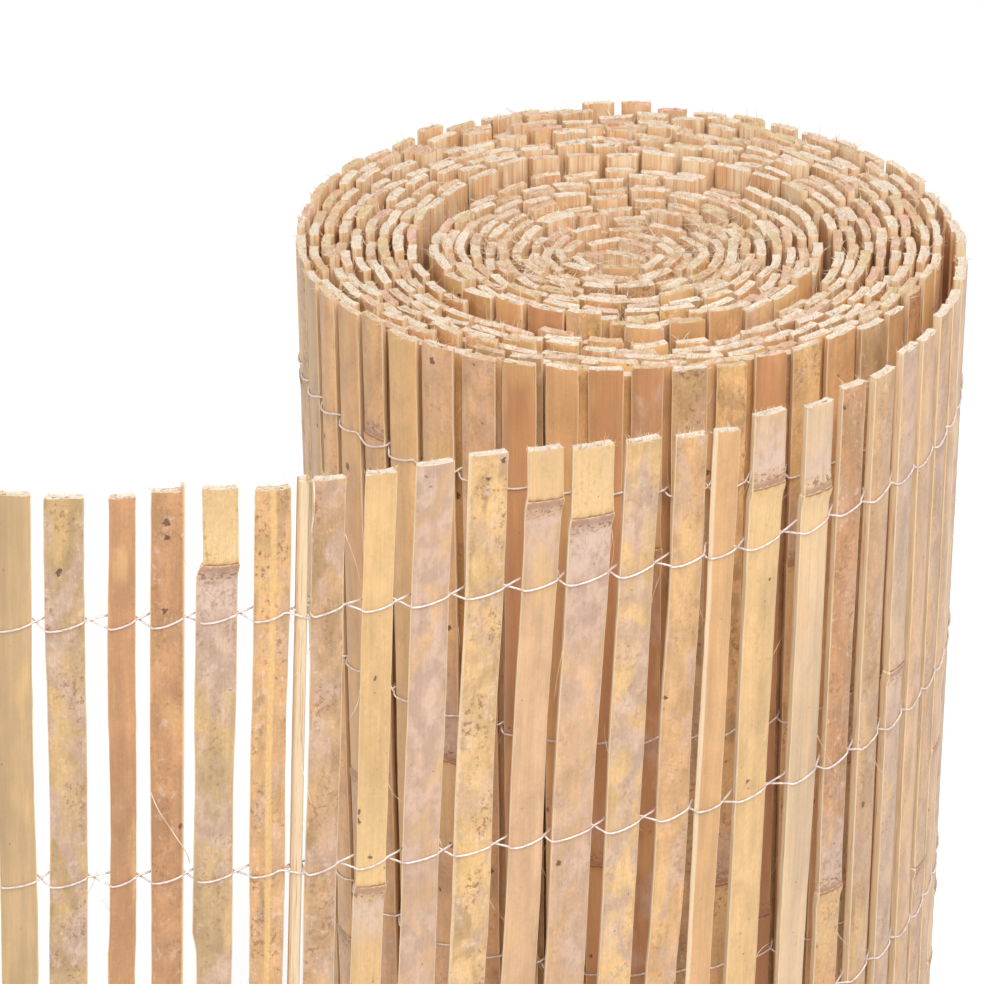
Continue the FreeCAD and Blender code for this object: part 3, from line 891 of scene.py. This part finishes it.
def strand_line(slats, height, in_front, chance):
    """Points of one strand over and behind the slats in turn, as it sags over each slat."""
    line = []
    shared = False
    for slat, after in zip(slats, slats[1:] + [None]):
        half = slat.width / 2.0
        side = 1.0 if in_front else -1.0
        low, high = (FRONT_SAG, FRONT_RISE) if in_front else (BACK_RISE, BACK_SAG)
        low += height + chance.uniform(-0.6, 0.6)
        high += height + chance.uniform(-0.5, 0.5)
        sag = chance.uniform(0.2, 0.8)
        if not shared:
            line.append(slat.point(-half - 0.25, side * 0.9, low))
        for share, climb, drop in ((-0.8, 0.04, 0.7), (-0.3, 0.22, 1.0), (0.3, 0.55, 0.7), (0.8, 0.9, 0.2)):
            z = low + (high - low) * climb - sag * drop
            face = slat.skin_depth(share, z) if in_front else slat.thickness / 2.0 - slat.thinner
            line.append(slat.point(share * half, side * (face + WIRE_RADIUS * 0.95), z))
        shared = after is not None and slat.gap_to(after) < 1.9
        if not shared:
            line.append(slat.point(half + 0.25, side * 0.9, high))
            in_front = not in_front
    return line


def smooth(line, steps):
    """A line through the points, rounded."""
    points = [Vector(p) for p in line]
    points = [points[0] * 2 - points[1]] + points + [points[-1] * 2 - points[-2]]
    out = []
    for a, b, c, d in zip(points, points[1:], points[2:], points[3:]):
        for step in range(steps):
            t = step / steps
            bend = (2 * a - 5 * b + 4 * c - d) * t * t + (3 * b - 3 * c + d - a) * t * t * t
            out.append(0.5 * (2 * b + (c - a) * t + bend))
    out.append(points[-2])
    return out


def add_tube(build, line, radius, sides, kind=0, owner=None):
    """A round wire or fibre along a line."""
    side = (line[1] - line[0]).cross(Vector((0.3, 0.2, 1.0))).normalized()
    rings = []
    run = 0.0
    for index, point in enumerate(line):
        before = line[max(index - 1, 0)]
        after = line[min(index + 1, len(line) - 1)]
        tangent = (after - before).normalized()
        side = (side - tangent * side.dot(tangent)).normalized()
        over = tangent.cross(side)
        run += (point - before).length
        ring = []
        for corner in range(sides):
            turn = corner * 2.0 * math.pi / sides
            at = point + (side * math.cos(turn) + over * math.sin(turn)) * radius
            ring.append(build.add(tuple(at), (run, turn, radius), owner))
        rings.append(ring)
    for low, high in zip(rings, rings[1:]):
        join_rings(build, low, high, [kind] * sides)
    build.face(tuple(reversed(rings[0])), kind)
    build.face(tuple(rings[-1]), kind)


def carry(piece, node):
    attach(piece, BODY)
    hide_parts(node)


def make_slats(materials):
    """A detailed piece for each node of slats. Returns the sheet's and the outermost turn's slats."""
    sheet = []
    outermost = []
    for node in sorted(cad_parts):
        if node.startswith("wire_row"):
            continue
        chance = random.Random(node + str(SEED))
        look = SHEET_LOOKS[len(sheet)] if node.startswith("sheet_slat") else None
        slats = [Slat(corners, chance, node, look, len(sheet) + 1) for corners in solids_of(node)]
        if look is not None:
            sheet += slats
        build = Build(node + "_bamboo")
        for slat in slats:
            add_slat(build, slat, chance)
            add_end_fibres(build, slat, chance, chance.randint(10, 20), 0.1, 0.9)
            add_end_fibres(build, slat, chance, FRAYED.get(slat.number, 0), 0.7, 2.4)
            if slat.fine:
                add_side_hairs(build, slat, chance, chance.randint(2, 7))
            if slat.fuzzy:
                add_tangle(build, slat, chance, chance.randint(5, 12))
            add_single_features(build, slat)
        piece = build.finish(materials, 38.0)
        carry(piece, node)
        if node == "turn_01":
            outermost = slats
    return sheet, turn_order(outermost)


def make_wires(slats, material):
    for row, height in enumerate(WIRE_HEIGHTS, 1):
        node = "wire_row_%d" % row
        chance = random.Random(node + str(SEED))
        build = Build(node + "_strands")
        for in_front in (True, False):
            line = strand_line(slats, height, in_front, chance)
            add_tube(build, smooth(line, 3), WIRE_RADIUS, WIRE_SIDES)
        piece = build.finish([material])
        carry(piece, node)


def seen_directly(tree):
    """Whether a ray comes from the camera, straight or by way of metal or glass."""
    path = tree.nodes.new("ShaderNodeLightPath")
    seen = path.outputs["Is Camera Ray"]
    for way in ("Is Glossy Ray", "Is Transmission Ray"):
        either = tree.nodes.new("ShaderNodeMath")
        either.operation = "MAXIMUM"
        tree.links.new(seen, either.inputs[0])
        tree.links.new(path.outputs[way], either.inputs[1])
        seen = either.outputs[0]
    return seen


def floor():
    """A pale floor that the camera sees as white, with the object's shadow."""
    shader = Shader("floor_white")
    glow = shader.math("MULTIPLY", seen_directly(shader.tree), 0.44)
    lift = {"Emission Color": (1.0, 1.0, 1.0, 1.0), "Emission Strength": glow}
    matte = shader.node("ShaderNodeBsdfPrincipled", {"Base Color": (0.82, 0.82, 0.82, 1.0), "Roughness": 0.9, **lift})
    shader.node("ShaderNodeOutputMaterial", {"Surface": matte.outputs[0]})
    size = 6.0
    mesh = bpy.data.meshes.new("floor")
    mesh.from_pydata([(-size, -size, 0), (size, -size, 0), (size, size, 0), (-size, size, 0)], [], [(0, 1, 2, 3)])
    mesh.materials.append(shader.material)
    ob = bpy.data.objects.new("floor", mesh)
    bpy.context.scene.collection.objects.link(ob)


def area_light(name, at, size, power, tint=(1.0, 1.0, 1.0)):
    data = bpy.data.lights.new(name, "AREA")
    data.shape = "SQUARE"
    data.size = size
    data.energy = power
    data.color = tint
    ob = bpy.data.objects.new(name, data)
    ob.location = at
    ob.rotation_euler = (Vector((0.0, 0.0, 0.3)) - Vector(at)).to_track_quat("-Z", "Y").to_euler()
    bpy.context.scene.collection.objects.link(ob)


def lights():
    world = bpy.data.worlds.new("studio")
    world.use_nodes = True
    tree = world.node_tree
    tree.nodes.clear()
    strength = tree.nodes.new("ShaderNodeMapRange")
    strength.inputs["To Min"].default_value = 0.46
    strength.inputs["To Max"].default_value = 1.0
    tree.links.new(seen_directly(tree), strength.inputs["Value"])
    background = tree.nodes.new("ShaderNodeBackground")
    tree.links.new(strength.outputs[0], background.inputs["Strength"])
    background.inputs["Color"].default_value = (1.0, 1.0, 1.0, 1.0)
    output = tree.nodes.new("ShaderNodeOutputWorld")
    tree.links.new(background.outputs[0], output.inputs["Surface"])
    bpy.context.scene.world = world
    area_light("key", (0.35, -1.6, 2.45), 1.4, 43.5)
    area_light("right_fill", (1.2, -0.4, 2.5), 1.4, 9.0)
    area_light("left_fill", (-1.7, -0.9, 1.5), 1.2, 6.0)


bpy.context.scene.view_settings.view_transform = "Standard"
camera()
lights()
floor()
SLAT_MATERIALS = [skin_material(), split_material(), inner_material(), cut_material(), fibre_material()]
sheet_slats, outer_slats = make_slats(SLAT_MATERIALS)
make_wires(sheet_slats + outer_slats, wire_material())
